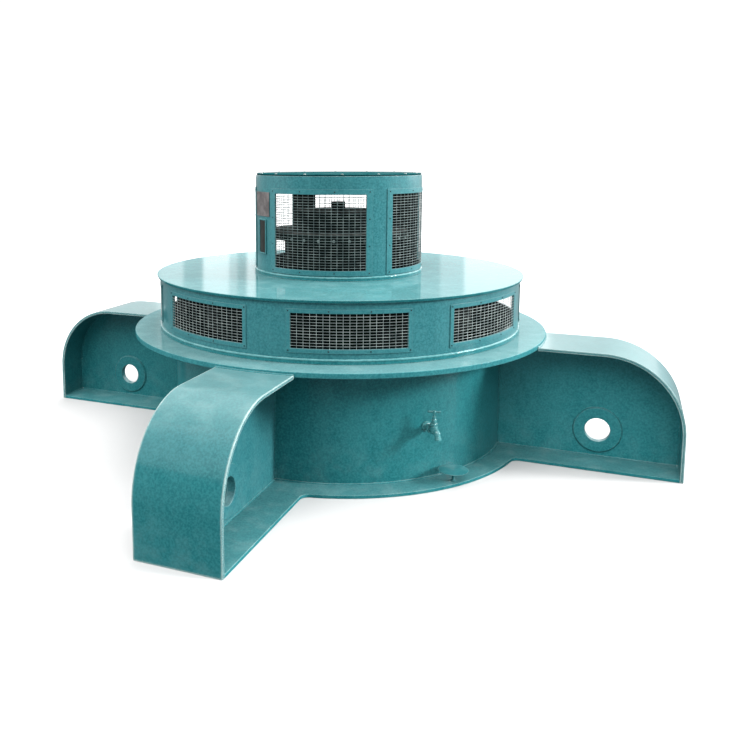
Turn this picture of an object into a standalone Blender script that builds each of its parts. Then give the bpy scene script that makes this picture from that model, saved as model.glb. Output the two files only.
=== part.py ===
# Upper bracket, air housing and top hood of a vertical kaplan turbine generator.
# Four arms of I section spread from a base drum.  A flange disc, a ring of vent windows,
# a cover plate and a smaller hood with windows stand on the drum, one above the other.
# Metres, +Z up, origin on the floor under the machine's axis.
import math

import bmesh
import bpy
from mathutils import Matrix, Vector

# Directions are degrees of azimuth: 0 looks at the photographer (-Y), 90 is +X.
GAP = 0.0003
SEAT_GAP = 0.0010
ARM_AZIMUTHS = (70.66, 160.66, 250.66, 340.66)

# Foot plate: the ledge round the drum and the arms' bottom flanges, one flat plate.
FOOT_T = 0.016
FOOT_R = 1.005
FOOT_BORE_R = 0.70
FOOT_FILLET = 0.040

# Base drum and the flange disc on it.
DRUM_R = 0.885
DRUM_WALL = 0.020
FLANGE_R = 1.100
FLANGE_BORE_R = 0.600
FLANGE_T = 0.025
FLANGE_TOP = 0.592
FLANGE_BOTTOM = FLANGE_TOP - FLANGE_T

# Arms: a bent top plate over an upright web with an eye welded into it.
ARM_REACH = 1.748
ARM_HALF_WIDTH = 0.188
ARM_T = 0.016
ARM_TOP = 0.577
ARM_BEND_R = 0.365
WEB_T = 0.020
EYE_REACH = 1.365
EYE_Z = 0.150
EYE_BORE_R = 0.059
EYE_R = 0.111
EYE_LENGTH = 0.036

# Hoop at the foot of the vent ring and of the hood, with a slanted weld on its top edge.
HOOP_OUT = 0.006
HOOP_HEIGHT = 0.014
HOOP_WELD = 0.010

# Vent ring between flange and cover plate.
VENT_R = 0.9605
VENT_WALL = 0.010
VENT_TOP = 0.8650
VENT_COUNT = 8
VENT_FIRST_AZIMUTH = 3.16
VENT_HALF_ANGLE = 15.6
VENT_SILL = 0.660
VENT_HEAD = 0.8175
VENT_STRIP = 0.024
VENT_COLUMNS = 8
VENT_ROWS = 3

# Cover plate.
COVER_R = 0.979
COVER_T = 0.014
COVER_BOTTOM = VENT_TOP + GAP
COVER_TOP = COVER_BOTTOM + COVER_T

# Hood with its four windows: two narrow posts and two wide ones between them.
HOOD_R = 0.447
HOOD_WALL = 0.008
HOOD_TOP = 1.3955
HOOD_HALF_ANGLE = 31.7
HOOD_WINDOW_AZIMUTHS = (-13.7, 68.5, 166.3, 248.5)
HOOD_SILL = 0.931
HOOD_HEAD = 1.306
HOOD_STRIP_SIDE = 0.033
HOOD_STRIP_END = 0.026
HOOD_COLUMNS = 10
HOOD_ROWS = 5
LID_R = 0.441
LID_T = 0.008
LID_EDGE = 0.003

# Window screens: a strip frame with a grid of bars in it.
SCREEN_T = 0.005
SCREEN_BAR = 0.006
CUT_MARGIN = 0.002

# Plates on the hood's wide post.
PLATE_AZIMUTH = -62.6
PLATE_HALF_ANGLE = 10.9
PLATE_BOTTOM = 1.186
PLATE_TOP = 1.311
PLATE_T = 0.003
SIGHT_AZIMUTH = -60.8
SIGHT_HALF_ANGLE = 5.4
SIGHT_BOTTOM = 0.989
SIGHT_TOP = 1.172
SIGHT_T = 0.008
SIGHT_RIM = 0.011
GLASS_T = 0.004

# Machines inside, seen through the screens.
POT_R = 0.720
POT_WALL = 0.012
POT_TOP = 0.850
EXCITER_R = 0.245
EXCITER_FOOT_R = 0.290
EXCITER_WALL = 0.012
EXCITER_TOP = 1.205
EXCITER_RIM_R = 0.375
EXCITER_RIM_BOTTOM = 1.060
EXCITER_RIM_TOP = 1.100
STUB_R = 0.038
STUB_TOP = 1.250

# Drain cock, at the middle of one of the drum's facets.
COCK_AZIMUTH = 27.5
COCK_Z = 0.272
COCK_REACH = 0.062
COCK_BODY_R = 0.019
NIPPLE_R = 0.015
NIPPLE_NUT_R = 0.0205
NIPPLE_FOOT_R = 0.024
SPOUT_R = 0.0140
SPOUT_BEND_R = 0.019
SPOUT_DROP = 0.048
SPOUT_FLARE = 1.12
STEM_R = 0.0042
STEM_BORE_R = 0.0048
STEM_BORE_DEPTH = 0.012
STEM_FLOOR_GAP = 0.002
GLAND_TOP = 0.056
HANDLE_Z = 0.078
HANDLE_HALF_LENGTH = 0.031
HANDLE_R = 0.0062
HANDLE_TURN = 58.0

# Mushroom cap on the foot plate's ledge.
CAP_AZIMUTH = 33.2
CAP_REACH = 0.972
CAP_R = 0.069
CAP_TOP = 0.073
CAP_T = 0.007
CAP_STEM_R = 0.006

# Facets per full circle, and the angle over which an edge is shaded sharp.
ROUND_LARGE = 96
ROUND_RING = 72
ROUND_MEDIUM = 48
ROUND_SMALL = 32
ROUND_TINY = 16
SHARP_ANGLE = 35.0
MERGE_DISTANCE = 0.00001

TEAL_ENAMEL = {"colour": (0.034, 0.222, 0.245), "metallic": 0.0, "roughness": 0.30}
SCREEN_ENAMEL = {"colour": (0.050, 0.240, 0.255), "metallic": 0.0, "roughness": 0.35}
FITTING_ENAMEL = {"colour": (0.045, 0.225, 0.235), "metallic": 0.0, "roughness": 0.20}
DARK_IRON = {"colour": (0.010, 0.012, 0.012), "metallic": 0.0, "roughness": 0.60}
PLATE_METAL = {"colour": (0.250, 0.235, 0.235), "metallic": 0.8, "roughness": 0.40}
DARK_GLASS = {"colour": (0.022, 0.026, 0.025), "metallic": 0.0, "roughness": 0.08}


def clear_file():
    for thing in list(bpy.data.objects):
        bpy.data.objects.remove(thing, do_unlink=True)
    for group in list(bpy.data.collections):
        bpy.data.collections.remove(group)


def new_collection(name):
    group = bpy.data.collections.new(name)
    bpy.context.scene.collection.children.link(group)
    return group


def new_object(name, data, group, parent=None):
    thing = bpy.data.objects.new(name, data)
    group.objects.link(thing)
    thing.parent = parent
    return thing


def new_empty(name, azimuth, group, reach=0.0, height=0.0):
    # Its +X points outward along the azimuth.
    empty = new_object(name, None, group)
    empty.location = polar(azimuth, reach, height)
    empty.rotation_euler.z = facing(azimuth)
    return empty


def mesh_object(name, bm, group, parent=None):
    mesh = bpy.data.meshes.new(name)
    bm.to_mesh(mesh)
    bm.free()
    return new_object(name, mesh, group, parent)


def polar(azimuth, radius, height=0.0):
    angle = math.radians(azimuth)
    return Vector((radius * math.sin(angle), -radius * math.cos(angle), height))


def facing(azimuth):
    # Turn about Z that points a shape's +X along the azimuth.
    return math.radians(azimuth - 90.0)


def add_line(bm, points, closed=False):
    verts = [bm.verts.new(point) for point in points]
    pairs = list(zip(verts, verts[1:]))
    if closed:
        pairs.append((verts[-1], verts[0]))
    return verts + [bm.edges.new(pair) for pair in pairs]


def arc_points(centre_x, centre_y, radius, start, end, steps):
    points = []
    for step in range(steps + 1):
        angle = start + (end - start) * step / steps
        points.append((centre_x + radius * math.cos(angle), centre_y + radius * math.sin(angle)))
    return points


def turned(name, profile, steps, group, parent=None, closed=False):
    # Screws a line of (radius, z), which runs down its outer side, once round Z.
    bm = bmesh.new()
    add_line(bm, [(radius, 0.0, z) for radius, z in profile], closed)
    thing = mesh_object(name, bm, group, parent)
    screw = thing.modifiers.new("Turn", "SCREW")
    screw.steps = steps
    screw.render_steps = steps
    screw.use_merge_vertices = True
    screw.merge_threshold = MERGE_DISTANCE
    return thing


def ring_profile(inner, outer, low, high):
    return [(inner, high), (outer, high), (outer, low), (inner, low)]


def shell_profile(radius, wall, low, high):
    # Half section of a round pot that is open below.
    inner = radius - wall
    return [(0.0, high), (radius, high), (radius, low), (inner, low), (inner, high - wall),
            (0.0, high - wall)]


def solid_from_curve(curve, name, group, parent=None):
    # A curve's caps are loose, so they are welded on in its mesh.
    source = new_object(name + "_curve", curve, group)
    depsgraph = bpy.context.evaluated_depsgraph_get()
    mesh = bpy.data.meshes.new_from_object(source.evaluated_get(depsgraph))
    bpy.data.objects.remove(source, do_unlink=True)
    bm = bmesh.new()
    bm.from_mesh(mesh)
    bmesh.ops.remove_doubles(bm, verts=bm.verts, dist=MERGE_DISTANCE)
    bmesh.ops.recalc_face_normals(bm, faces=bm.faces)
    bm.to_mesh(mesh)
    bm.free()
    return new_object(name, mesh, group, parent)


def flat_plate(name, outlines, thickness, group, parent=None):
    # Closed outlines of (x, y), the later ones holes, as thick as stated about Z = 0.
    curve = bpy.data.curves.new(name, "CURVE")
    curve.dimensions = "2D"
    curve.fill_mode = "BOTH"
    curve.extrude = thickness / 2
    for outline in outlines:
        spline = curve.splines.new("POLY")
        spline.points.add(len(outline) - 1)
        for point, (x, y) in zip(spline.points, outline):
            point.co = (x, y, 0.0, 1.0)
        spline.use_cyclic_u = True
    return solid_from_curve(curve, name, group, parent)


def rolled_sheet(radius, spans, heights):
    # An upright line of heights is spun round Z over the spans of (degrees, steps), evenly
    # about +X, into an open sheet whose faces look at the axis.
    total = sum(angle for angle, steps in spans)
    start = Matrix.Rotation(math.radians(-total / 2), 3, "Z") @ Vector((radius, 0.0, 0.0))
    bm = bmesh.new()
    line = add_line(bm, [(start.x, start.y, z) for z in heights])
    for angle, steps in spans:
        made = bmesh.ops.spin(bm, geom=line, cent=(0, 0, 0), axis=(0, 0, 1), dvec=(0, 0, 0),
                              angle=math.radians(angle), steps=steps)
        line = made["geom_last"]
    return bm


def open_field(bm, half_angle, sill, head, bar=0.0):
    # Opens the faces between sill and head, and leaves a bar along each edge they share.
    field = []
    for face in bm.faces:
        middle = face.calc_center_median()
        turn = math.degrees(math.atan2(middle.y, middle.x))
        if sill < middle.z < head and abs(turn) < half_angle:
            field.append(face)
    if bar:
        bmesh.ops.inset_individual(bm, faces=field, thickness=bar / 2, use_even_offset=True)
    bmesh.ops.delete(bm, geom=field, context="FACES")


def thicken(thing, thickness, offset=-1.0):
    # An offset of -1 grows away from the faces' normals, and 1 grows along them.
    solidify = thing.modifiers.new("Thickness", "SOLIDIFY")
    solidify.thickness = thickness
    solidify.offset = offset
    solidify.use_even_offset = True


def combine(target, cutter, operation):
    boolean = target.modifiers.new(cutter.name, "BOOLEAN")
    boolean.operation = operation
    boolean.solver = "EXACT"
    boolean.object = cutter


def make_foot_plate(group):
    end = ARM_REACH - ARM_T - GAP
    reach = FOOT_R + FOOT_FILLET
    side = ARM_HALF_WIDTH + FOOT_FILLET
    centre_u = math.sqrt(reach * reach - side * side)
    lean = math.atan2(side, centre_u)
    fillet = arc_points(centre_u, side, FOOT_FILLET, -math.pi / 2, -math.pi + lean, 6)
    rim = arc_points(0.0, 0.0, FOOT_R, lean, math.pi / 2 - lean, 14)[1:-1]
    quarter = [(end, -ARM_HALF_WIDTH), (end, ARM_HALF_WIDTH)] + fillet + rim
    quarter += [(v, u) for u, v in reversed(fillet)]
    outline = []
    for turn in range(4):
        for u, v in quarter:
            outline.append(Matrix.Rotation(turn * math.pi / 2, 2) @ Vector((u, v)))
    bore = arc_points(0.0, 0.0, FOOT_BORE_R, 0.0, 2 * math.pi, ROUND_MEDIUM)[:-1]
    plate = flat_plate("foot_plate", [outline, bore], FOOT_T, group)
    plate.location.z = FOOT_T / 2
    plate.rotation_euler.z = facing(ARM_AZIMUTHS[0])


def make_drum_and_flange(group):
    turned("base_drum",
           ring_profile(DRUM_R - DRUM_WALL, DRUM_R, FOOT_T + GAP, FLANGE_BOTTOM - GAP),
           ROUND_RING, group, closed=True)
    turned("main_flange",
           ring_profile(FLANGE_BORE_R, FLANGE_R, FLANGE_BOTTOM, FLANGE_TOP),
           ROUND_LARGE, group, closed=True)


def arm_side_view(inset, low):
    # Side view (u, z) of the bent top plate's outer face, moved inwards by inset.
    centre_u = ARM_REACH - ARM_BEND_R
    centre_z = ARM_TOP - ARM_BEND_R
    bend = arc_points(centre_u, centre_z, ARM_BEND_R - inset, math.pi / 2, 0.0, 14)
    return bend + [(ARM_REACH - inset, low)]


def make_arm_plate(index, arm, group, flange_rim):
    # The inner end starts over the flange and is cut back to the flange's rim.
    path = [(DRUM_R, ARM_TOP)] + arm_side_view(0.0, 0.0)
    bm = bmesh.new()
    add_line(bm, [(u, -ARM_HALF_WIDTH, z) for u, z in path])
    made = bmesh.ops.extrude_edge_only(bm, edges=bm.edges[:])["geom"]
    moved = [part for part in made if isinstance(part, bmesh.types.BMVert)]
    bmesh.ops.translate(bm, verts=moved, vec=(0.0, 2 * ARM_HALF_WIDTH, 0.0))
    plate = mesh_object(f"arm_plate_{index}", bm, group, arm)
    thicken(plate, ARM_T, 1.0)
    combine(plate, flange_rim, "DIFFERENCE")


def make_arm_web(index, arm, group):
    inset = ARM_T + GAP
    low = FOOT_T + GAP
    step_u = FLANGE_R - 0.002
    outline = [(DRUM_R + 2 * GAP, low), (DRUM_R + 2 * GAP, FLANGE_BOTTOM - GAP),
               (step_u, FLANGE_BOTTOM - GAP), (step_u, ARM_TOP - inset)]
    outline += arm_side_view(inset, low)
    hole = arc_points(EYE_REACH, EYE_Z, EYE_R + GAP, 0.0, 2 * math.pi, ROUND_SMALL)[:-1]
    web = flat_plate(f"arm_web_{index}", [outline, hole], WEB_T, group, arm)
    web.rotation_euler.x = math.pi / 2

    half = EYE_LENGTH / 2
    eye = turned(f"web_eye_{index}", ring_profile(EYE_BORE_R, EYE_R, -half, half),
                 ROUND_SMALL, group, arm, closed=True)
    eye.location = (EYE_REACH, 0.0, EYE_Z)
    eye.rotation_euler.x = math.pi / 2


def make_arms(group, cutters):
    flange_rim = turned("flange_rim", [(0.0, 1.0), (FLANGE_R + GAP, 1.0),
                                       (FLANGE_R + GAP, 0.0), (0.0, 0.0)],
                        ROUND_LARGE, cutters)
    for index, azimuth in enumerate(ARM_AZIMUTHS, 1):
        arm = new_empty(f"arm_{index}", azimuth, group)
        make_arm_plate(index, arm, group, flange_rim)
        make_arm_web(index, arm, group)


def make_window_ring(name, radius, wall, low, high, group):
    # A cylinder wall on a foot hoop.
    foot = low + HOOP_HEIGHT
    return turned(name, [(radius - wall, high), (radius, high), (radius, foot + HOOP_WELD),
                         (radius + HOOP_OUT, foot), (radius + HOOP_OUT, low),
                         (radius - wall, low)],
                  ROUND_RING, group, closed=True)


def cut_window(ring, azimuth, radius, wall, half_angle, sill, head, cutters):
    near = radius * math.cos(math.radians(half_angle)) - 2 * wall
    far = radius + 2 * wall
    width = 2 * (radius * math.sin(math.radians(half_angle)) + CUT_MARGIN)
    bm = bmesh.new()
    bmesh.ops.create_cube(bm, size=1.0, matrix=Matrix.Diagonal(
        (far - near, width, head - sill + 2 * CUT_MARGIN, 1.0)))
    cutter = mesh_object(f"{ring.name}_window", bm, cutters)
    cutter.location = polar(azimuth, (near + far) / 2, (sill + head) / 2)
    cutter.rotation_euler.z = facing(azimuth)
    combine(ring, cutter, "DIFFERENCE")


def make_screen(name, azimuth, radius, half_angle, side, end, sill, head, columns, rows,
                group):
    strip = math.degrees(side / radius)
    levels = [sill + (head - sill) * row / rows for row in range(rows + 1)]
    bm = rolled_sheet(radius + SEAT_GAP, [(strip, 1), (2 * half_angle, columns), (strip, 1)],
                      [sill - end] + levels + [head + end])
    open_field(bm, half_angle, sill, head, SCREEN_BAR)
    screen = mesh_object(name, bm, group)
    screen.rotation_euler.z = facing(azimuth)
    thicken(screen, SCREEN_T)


def make_vent_ring(group, cutters):
    ring = make_window_ring("vent_ring", VENT_R, VENT_WALL, FLANGE_TOP + GAP, VENT_TOP, group)
    for index in range(VENT_COUNT):
        azimuth = VENT_FIRST_AZIMUTH + index * 360.0 / VENT_COUNT
        cut_window(ring, azimuth, VENT_R, VENT_WALL, VENT_HALF_ANGLE, VENT_SILL, VENT_HEAD,
                   cutters)
        make_screen(f"vent_screen_{index + 1}", azimuth, VENT_R, VENT_HALF_ANGLE, VENT_STRIP,
                    VENT_STRIP, VENT_SILL, VENT_HEAD, VENT_COLUMNS, VENT_ROWS, group)


def make_cover_plate(group):
    turned("cover_plate",
           [(0.0, COVER_TOP), (COVER_R, COVER_TOP), (COVER_R, COVER_BOTTOM),
            (0.0, COVER_BOTTOM)],
           ROUND_LARGE, group)


def make_hood(group, cutters):
    ring = make_window_ring("hood", HOOD_R, HOOD_WALL, COVER_TOP + GAP, HOOD_TOP, group)
    for index, azimuth in enumerate(HOOD_WINDOW_AZIMUTHS, 1):
        cut_window(ring, azimuth, HOOD_R, HOOD_WALL, HOOD_HALF_ANGLE, HOOD_SILL, HOOD_HEAD,
                   cutters)
        make_screen(f"hood_screen_{index}", azimuth, HOOD_R, HOOD_HALF_ANGLE,
                    HOOD_STRIP_SIDE, HOOD_STRIP_END, HOOD_SILL, HOOD_HEAD, HOOD_COLUMNS,
                    HOOD_ROWS, group)
    low = HOOD_TOP + GAP
    turned("hood_lid",
           [(0.0, low + LID_T), (LID_R - LID_EDGE, low + LID_T),
            (LID_R, low + LID_T - LID_EDGE), (LID_R, low), (0.0, low)],
           ROUND_RING, group)


def make_post_plates(group):
    seat = HOOD_R + SEAT_GAP
    plate = mesh_object("data_plate",
                        rolled_sheet(seat, [(2 * PLATE_HALF_ANGLE, 8)],
                                     [PLATE_BOTTOM, PLATE_TOP]), group)
    plate.rotation_euler.z = facing(PLATE_AZIMUTH)
    thicken(plate, PLATE_T)

    rim = math.degrees(SIGHT_RIM / HOOD_R)
    opening = SIGHT_HALF_ANGLE - rim
    sill = SIGHT_BOTTOM + SIGHT_RIM
    head = SIGHT_TOP - SIGHT_RIM
    bm = rolled_sheet(seat, [(rim, 1), (2 * opening, 4), (rim, 1)],
                      [SIGHT_BOTTOM, sill, head, SIGHT_TOP])
    open_field(bm, opening, sill, head)
    frame = mesh_object("sight_frame", bm, group)
    frame.rotation_euler.z = facing(SIGHT_AZIMUTH)
    thicken(frame, SIGHT_T)

    slack = math.degrees(GAP / HOOD_R)
    glass = mesh_object("sight_glass",
                        rolled_sheet(seat, [(2 * (opening - slack), 4)],
                                     [sill + GAP, head - GAP]), group)
    glass.rotation_euler.z = facing(SIGHT_AZIMUTH)
    thicken(glass, GLASS_T)


def make_inner_machines(group):
    turned("bearing_pot", shell_profile(POT_R, POT_WALL, FLANGE_TOP + GAP, POT_TOP),
           ROUND_MEDIUM, group)
    low = COVER_TOP + GAP
    inner = EXCITER_R - EXCITER_WALL
    foot_inner = EXCITER_FOOT_R - EXCITER_WALL
    turned("exciter",
           [(0.0, STUB_TOP), (STUB_R, STUB_TOP), (STUB_R, EXCITER_TOP),
            (EXCITER_R, EXCITER_TOP), (EXCITER_R, EXCITER_RIM_TOP),
            (EXCITER_RIM_R, EXCITER_RIM_TOP), (EXCITER_RIM_R, EXCITER_RIM_BOTTOM),
            (EXCITER_FOOT_R, EXCITER_RIM_BOTTOM), (EXCITER_FOOT_R, low), (foot_inner, low),
            (foot_inner, EXCITER_RIM_BOTTOM), (inner, EXCITER_RIM_BOTTOM),
            (inner, EXCITER_TOP - EXCITER_WALL), (0.0, EXCITER_TOP - EXCITER_WALL)],
           ROUND_MEDIUM, group)


def make_cock_nipple(cock, cutters):
    # Drawn upright with its foot on the drum's facet, then laid along the cock's +X.
    facet = DRUM_R * math.cos(math.pi / ROUND_RING)
    wall = facet + GAP - DRUM_R - COCK_REACH
    nut_low = wall + 0.030
    nut_high = wall + 0.040
    nipple = turned("cock_nipple",
                    [(0.0, 0.006), (NIPPLE_R, 0.006), (NIPPLE_R, nut_high),
                     (NIPPLE_NUT_R, nut_high), (NIPPLE_NUT_R, nut_low), (NIPPLE_R, nut_low),
                     (NIPPLE_R, wall + 0.006), (NIPPLE_FOOT_R, wall + 0.006),
                     (NIPPLE_FOOT_R, wall), (0.0, wall)],
                    ROUND_TINY, cutters, cock)
    nipple.rotation_euler.y = math.pi / 2
    return nipple


def make_cock_spout(cock, cutters):
    # A pipe that leaves the body along +X, bends down and flares at its mouth.
    curve = bpy.data.curves.new("cock_spout", "CURVE")
    curve.dimensions = "3D"
    curve.bevel_depth = SPOUT_R
    curve.bevel_resolution = 2
    curve.use_fill_caps = True
    start_x = SPOUT_R
    path = [(0.0, 0.0)]
    path += arc_points(start_x, -SPOUT_BEND_R, SPOUT_BEND_R, math.pi / 2, 0.0, 6)
    path.append((start_x + SPOUT_BEND_R, -SPOUT_DROP))
    spline = curve.splines.new("POLY")
    spline.points.add(len(path) - 1)
    for point, (x, z) in zip(spline.points, path):
        point.co = (x, 0.0, z, 1.0)
    spline.points[-1].radius = SPOUT_FLARE
    return solid_from_curve(curve, "cock_spout", cutters, cock)


def make_cock_handle(cock, group, cutters):
    floor = GLAND_TOP - STEM_BORE_DEPTH + STEM_FLOOR_GAP
    handle = turned("cock_handle",
                    [(0.0, HANDLE_Z), (STEM_R, HANDLE_Z), (STEM_R, floor), (0.0, floor)],
                    ROUND_TINY, group, cock)
    half = HANDLE_HALF_LENGTH
    bar = turned("cock_handle_bar",
                 [(0.0, half), (0.0035, half), (HANDLE_R, half - 0.004), (0.0045, 0.010),
                  (0.0045, -0.010), (HANDLE_R, 0.004 - half), (0.0035, -half), (0.0, -half)],
                 ROUND_TINY, cutters, cock)
    bar.location.z = HANDLE_Z
    bar.rotation_euler = (0.0, math.pi / 2, math.radians(HANDLE_TURN))
    combine(handle, bar, "UNION")


def make_drain_cock(group, cutters):
    # The empty stands on the stem's axis at the inlet's height.
    cock = new_empty("cock_axis", COCK_AZIMUTH, group, DRUM_R + COCK_REACH, COCK_Z)
    floor = GLAND_TOP - STEM_BORE_DEPTH
    body = turned("drain_cock",
                  [(0.0, floor), (STEM_BORE_R, floor), (STEM_BORE_R, GLAND_TOP),
                   (0.0085, GLAND_TOP), (0.0085, 0.044), (0.0125, 0.043), (0.0125, 0.036),
                   (0.0105, 0.035), (0.0105, 0.030), (0.0175, 0.029), (0.0175, 0.020),
                   (COCK_BODY_R, 0.012), (COCK_BODY_R, -0.010), (0.013, -0.017),
                   (0.0, -0.019)],
                  ROUND_TINY, group, cock)
    combine(body, make_cock_nipple(cock, cutters), "UNION")
    combine(body, make_cock_spout(cock, cutters), "UNION")
    make_cock_handle(cock, group, cutters)


def make_ledge_cap(group):
    low = FOOT_T + GAP
    under = CAP_TOP - CAP_T
    foot_r = CAP_STEM_R + 0.006
    cap = turned("ledge_cap",
                 [(0.0, CAP_TOP), (CAP_R * 0.7, CAP_TOP - 0.001), (CAP_R, CAP_TOP - 0.004),
                  (CAP_R - 0.001, under), (CAP_STEM_R, under), (CAP_STEM_R, low + 0.004),
                  (foot_r, low + 0.004), (foot_r, low), (0.0, low)],
                 ROUND_SMALL, group)
    cap.location = polar(CAP_AZIMUTH, CAP_REACH)


def finish_of(name):
    if "_screen_" in name:
        return SCREEN_ENAMEL
    special = {"bearing_pot": DARK_IRON, "exciter": DARK_IRON, "data_plate": PLATE_METAL,
               "sight_glass": DARK_GLASS, "drain_cock": FITTING_ENAMEL,
               "cock_handle": FITTING_ENAMEL, "ledge_cap": FITTING_ENAMEL}
    return special.get(name, TEAL_ENAMEL)


def paint(thing, finish):
    material = bpy.data.materials.new(thing.name)
    material.use_nodes = True
    shader = material.node_tree.nodes["Principled BSDF"]
    shader.inputs["Base Color"].default_value = (*finish["colour"], 1.0)
    shader.inputs["Metallic"].default_value = finish["metallic"]
    shader.inputs["Roughness"].default_value = finish["roughness"]
    thing.data.materials.append(material)


def main():
    clear_file()
    group = new_collection("kaplan_turbine_generator")
    cutters = new_collection("cutters")
    make_foot_plate(group)
    make_drum_and_flange(group)
    make_arms(group, cutters)
    make_vent_ring(group, cutters)
    make_cover_plate(group)
    make_hood(group, cutters)
    make_post_plates(group)
    make_inner_machines(group)
    make_drain_cock(group, cutters)
    make_ledge_cap(group)
    for cutter in cutters.objects:
        cutter.hide_render = True
        cutter.display_type = "WIRE"

    # The shapes are settled, so each becomes a plain mesh, shaded smooth and painted.
    depsgraph = bpy.context.evaluated_depsgraph_get()
    parts = [thing for thing in group.objects if thing.type == "MESH"]
    meshes = [bpy.data.meshes.new_from_object(part.evaluated_get(depsgraph)) for part in parts]
    for part, mesh in zip(parts, meshes):
        part.modifiers.clear()
        part.data = mesh
        mesh.shade_smooth()
        mesh.set_sharp_from_angle(angle=math.radians(SHARP_ANGLE))
        paint(part, finish_of(part.name))


main()
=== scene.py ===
import math

import bmesh
import bpy
from mathutils import Matrix, Vector, noise


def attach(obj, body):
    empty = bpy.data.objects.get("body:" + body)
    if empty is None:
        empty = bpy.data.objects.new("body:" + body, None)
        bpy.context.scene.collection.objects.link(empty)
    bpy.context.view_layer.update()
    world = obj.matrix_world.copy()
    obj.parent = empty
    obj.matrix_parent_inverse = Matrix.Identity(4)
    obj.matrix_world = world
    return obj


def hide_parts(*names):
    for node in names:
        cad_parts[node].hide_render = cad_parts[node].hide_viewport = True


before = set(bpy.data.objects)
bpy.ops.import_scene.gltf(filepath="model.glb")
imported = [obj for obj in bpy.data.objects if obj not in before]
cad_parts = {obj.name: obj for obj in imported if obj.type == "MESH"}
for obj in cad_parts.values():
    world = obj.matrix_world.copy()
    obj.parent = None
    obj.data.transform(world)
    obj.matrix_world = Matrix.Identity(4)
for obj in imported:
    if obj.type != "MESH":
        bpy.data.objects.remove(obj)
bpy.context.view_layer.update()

# Metres, +Z up.  Azimuth 0 faces the camera (-Y) and azimuth 90 is +X.
armAzimuths = (70.66, 160.66, 250.66, 340.66)


class Wire:                                   # a node output that can stand in a Python sum
    def __init__(self, recipe, socket):
        self.recipe = recipe
        self.socket = socket

    def reckon(self, operation, first, second):
        return self.recipe.node("ShaderNodeMath", {"operation": operation},
                                {0: first, 1: second})

    def __add__(self, other):
        return self.reckon("ADD", self, other)

    def __radd__(self, other):
        return self.reckon("ADD", other, self)

    def __sub__(self, other):
        return self.reckon("SUBTRACT", self, other)

    def __rsub__(self, other):
        return self.reckon("SUBTRACT", other, self)

    def __mul__(self, other):
        return self.reckon("MULTIPLY", self, other)

    def __rmul__(self, other):
        return self.reckon("MULTIPLY", other, self)


class Recipe:                                 # the nodes of one material or of the world
    def __init__(self, tree):
        self.tree = tree

    def node(self, kind, settings=None, sockets=None, output=0):
        made = self.tree.nodes.new(kind)
        for name, value in (settings or {}).items():
            setattr(made, name, value)
        for key, value in (sockets or {}).items():
            self.join(value, made.inputs[key])
        return Wire(self, made.outputs[output])

    def join(self, value, socket):
        if isinstance(value, Wire):
            self.tree.links.new(value.socket, socket)
        else:
            socket.default_value = value

    def speckle(self, place, scale, detail=2.0, roughness=0.5):
        return self.node("ShaderNodeTexNoise", {}, {"Vector": place, "Scale": scale,
                         "Detail": detail, "Roughness": roughness}, "Fac")

    def between(self, value, low, high, bottom=0.0, top=1.0):
        return self.node("ShaderNodeMapRange", {"interpolation_type": "SMOOTHSTEP"},
                         {"Value": value, "From Min": low, "From Max": high,
                          "To Min": bottom, "To Max": top})

    def blend(self, amount, first, second):
        return self.node("ShaderNodeMix", {"data_type": "RGBA"},
                         {0: amount, 6: first, 7: second}, 2)

    def bump(self, height, distance, strength=1.0, under=None):
        sockets = {"Height": height, "Distance": distance, "Strength": strength}
        if under:
            sockets["Normal"] = under
        return self.node("ShaderNodeBump", {}, sockets, "Normal")


def startFinish(name):
    material = bpy.data.materials.new(name)
    material.use_nodes = True
    recipe = Recipe(material.node_tree)
    shader = material.node_tree.nodes["Principled BSDF"]
    place = recipe.node("ShaderNodeTexCoord", {}, {}, "Object")
    return material, recipe, shader, place


def heightAndTilt(recipe, place):
    height = recipe.node("ShaderNodeSeparateXYZ", {}, {0: place}, "Z")
    facing = recipe.node("ShaderNodeNewGeometry", {}, {}, "Normal")
    return height, recipe.node("ShaderNodeSeparateXYZ", {}, {0: facing}, "Z")


def cornerMask(recipe, radius):               # 1 on corners and edges, 0 on flat faces
    facing = recipe.node("ShaderNodeNewGeometry", {}, {}, "Normal")
    rounded = recipe.node("ShaderNodeBevel", {"samples": 4}, {"Radius": radius}, "Normal")
    same = recipe.node("ShaderNodeVectorMath", {"operation": "DOT_PRODUCT"},
                       {0: facing, 1: rounded}, "Value")
    return recipe.between(same, 0.985, 0.88)  # cosines of about 10 and 28 degrees


# Painted shade: the rooms inside the vent ring and the hood are coloured near black in place
# of their shade, matte and without clear coat.
rooms = {"ventRadius": 0.953, "ventLow": 0.5915, "ventHigh": 0.866,
         "hoodRadius": 0.4425, "hoodLow": 0.8790, "hoodRoof": (1.3962, 1.3955),
         "fade": 0.0005, "paintedShade": (0.0045, 0.0070, 0.0070, 1)}


# Mask of the painted shade on the inner faces of the vent ring and the hood.
def roomShadeMask(recipe, place, height):
    flat = recipe.node("ShaderNodeVectorMath", {"operation": "MULTIPLY"},
                       {0: place, 1: (1, 1, 0)}, "Vector")
    radius = recipe.node("ShaderNodeVectorMath", {"operation": "LENGTH"}, {0: flat}, "Value")
    step = rooms["fade"]
    vent = (recipe.between(radius, rooms["ventRadius"] + step, rooms["ventRadius"] - step)
            * recipe.between(height, rooms["ventLow"] - step, rooms["ventLow"])
            * recipe.between(height, rooms["ventHigh"], rooms["ventHigh"] - step))
    hooded = (recipe.between(radius, rooms["hoodRadius"] + step, rooms["hoodRadius"] - step)
              * recipe.between(height, rooms["hoodLow"] - step, rooms["hoodLow"])
              * recipe.between(height, *rooms["hoodRoof"]))
    return vent + hooded
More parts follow.
